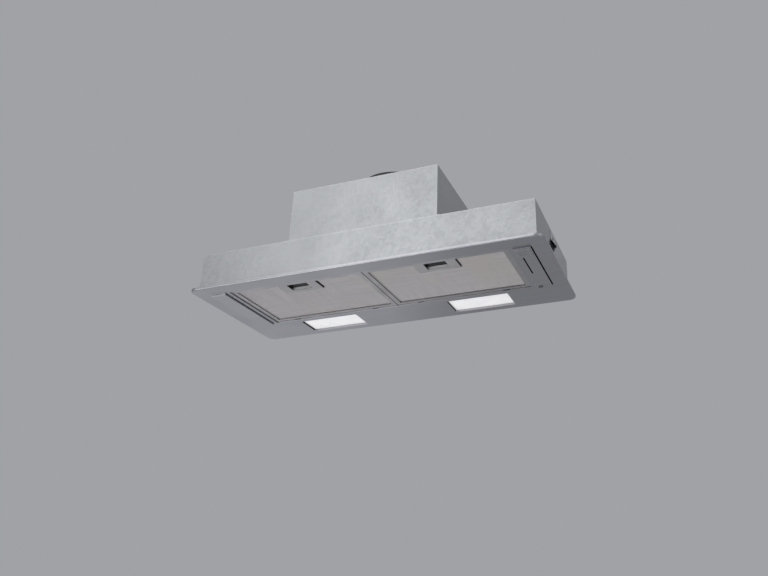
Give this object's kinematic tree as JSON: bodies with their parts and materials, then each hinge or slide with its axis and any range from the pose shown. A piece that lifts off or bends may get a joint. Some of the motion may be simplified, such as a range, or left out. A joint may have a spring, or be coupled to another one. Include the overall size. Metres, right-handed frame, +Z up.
{
  "type": "built-in range hood",
  "caption": "Slim under-cabinet range hood with a brushed steel face, tipping grease filters, slider control, lit lamp windows, blower and round duct collar.",
  "frame": {"origin": "centre of the seating plane, where the trim's rim meets the underside of the cabinet", "axes": "+X along the front edge to the controls, +Y from the user to the wall, +Z up into the cabinet"},
  "size_m": [0.7, 0.29, 0.2592],
  "materials": {
    "brushed_face": "brushed along the width, satin",
    "panel_steel": "fine brushed",
    "black_plastic": "fine matt texture",
    "circuit_board": "board with black switch bodies",
    "galvanised_body": "galvanised sheet",
    "filter_aluminium": "satin",
    "filter_layers": "folded expanded foil",
    "latch_plastic": "satin grey moulding",
    "spring_steel": "bright spring strip",
    "lamp_diffuser": "frosted, lit from behind",
    "reflector": "bright inside",
    "lamp_ceramic": "glazed ceramic",
    "lamp_glass": "opal glass",
    "casing_plastic": "moulded, fine grain",
    "wheel_steel": "galvanised",
    "motor_shell": "dark grey",
    "bright_steel": "zinc plated",
    "rubber_mounts": "soft black",
    "white_plastic": "moulded"
  },
  "bodies": {
    "root": {"trim_frame": "brushed_face", "blank_panel": "panel_steel", "control_panel": "panel_steel", "switch_box": "black_plastic", "cable_gland": "black_plastic", "control_board": "circuit_board", "filter_cradle": "galvanised_body", "plenum_front": "galvanised_body", "plenum_rear": "galvanised_body", "plenum_end_left": "galvanised_body", "plenum_end_right": "galvanised_body", "plenum_top": "galvanised_body", "motor_box": "galvanised_body", "top_plate": "galvanised_body", "capacitor_strap": "galvanised_body", "motor_bracket": "galvanised_body", "side_clip_left": "spring_steel", "side_clip_right": "spring_steel", "lamp_lens_left": "lamp_diffuser", "lamp_lens_right": "lamp_diffuser", "lamp_reflector_left": "reflector", "lamp_reflector_right": "reflector", "lamp_holder_left": "lamp_ceramic", "lamp_holder_right": "lamp_ceramic", "lamp_bulb_left": "lamp_glass", "lamp_bulb_right": "lamp_glass", "scroll_casing_left": "casing_plastic", "scroll_casing_right": "casing_plastic", "outlet_collar": "casing_plastic", "motor": "motor_shell", "damper_pin": "bright_steel", "clip_screws": "bright_steel", "collar_screws": "bright_steel", "motor_screws": "bright_steel", "motor_grommets": "rubber_mounts", "capacitor": "white_plastic", "terminal_box": "white_plastic", "terminal_lid": "white_plastic"},
    "filter_left": {"filter_frame_left": "filter_aluminium", "filter_mesh_left": "filter_aluminium", "filter_pad_left": "filter_layers", "filter_back_mesh_left": "filter_aluminium", "latch_housing_left": "latch_plastic", "latch_spring_left": "spring_steel"},
    "filter_right": {"filter_frame_right": "filter_aluminium", "filter_mesh_right": "filter_aluminium", "filter_pad_right": "filter_layers", "filter_back_mesh_right": "filter_aluminium", "latch_housing_right": "latch_plastic", "latch_spring_right": "spring_steel"},
    "latch_left": {"latch_slider_left": "latch_plastic"},
    "latch_right": {"latch_slider_right": "latch_plastic"},
    "speed_control": {"speed_slider": "panel_steel"},
    "light_switch": {"light_button": "black_plastic"},
    "fan_wheel": {"impeller": "wheel_steel", "motor_shaft": "bright_steel"},
    "damper_front": {"damper_flap_front": "casing_plastic"},
    "damper_rear": {"damper_flap_rear": "casing_plastic"}
  },
  "joints": [
    {"name": "filter_left_tip", "type": "hinge", "parent": "root", "child": "filter_left", "pos_m": [-0.1395, 0.0575, -0.0031], "axis": [1, 0, 0], "range_deg": [0, 60]},
    {"name": "filter_right_tip", "type": "hinge", "parent": "root", "child": "filter_right", "pos_m": [0.1395, 0.0575, -0.0031], "axis": [1, 0, 0], "range_deg": [0, 60]},
    {"name": "latch_left_pull", "type": "slide", "parent": "filter_left", "child": "latch_left", "axis": [0, 1, 0], "range_m": [0, 0.004], "stiffness_N_per_m": 600, "springref_m": -0.002, "deforming": ["latch_spring_left"]},
    {"name": "latch_right_pull", "type": "slide", "parent": "filter_right", "child": "latch_right", "axis": [0, 1, 0], "range_m": [0, 0.004], "stiffness_N_per_m": 600, "springref_m": -0.002, "deforming": ["latch_spring_right"]},
    {"name": "speed_slide", "type": "slide", "parent": "root", "child": "speed_control", "axis": [0, 1, 0], "range_m": [0, 0.066]},
    {"name": "light_press", "type": "slide", "parent": "root", "child": "light_switch", "axis": [0, 0, 1], "range_m": [0, 0.001], "stiffness_N_per_m": 500, "springref_m": -0.001},
    {"name": "fan_spin", "type": "hinge", "parent": "root", "child": "fan_wheel", "pos_m": [0, -0.022, 0.1], "axis": [1, 0, 0], "continuous": true},
    {"name": "damper_front_swing", "type": "hinge", "parent": "root", "child": "damper_front", "pos_m": [0, 0.029, 0.226], "axis": [-1, 0, 0], "range_deg": [0, 80]},
    {"name": "damper_rear_swing", "type": "hinge", "parent": "root", "child": "damper_rear", "pos_m": [0, 0.029, 0.226], "axis": [1, 0, 0], "range_deg": [0, 80]}
  ]
}
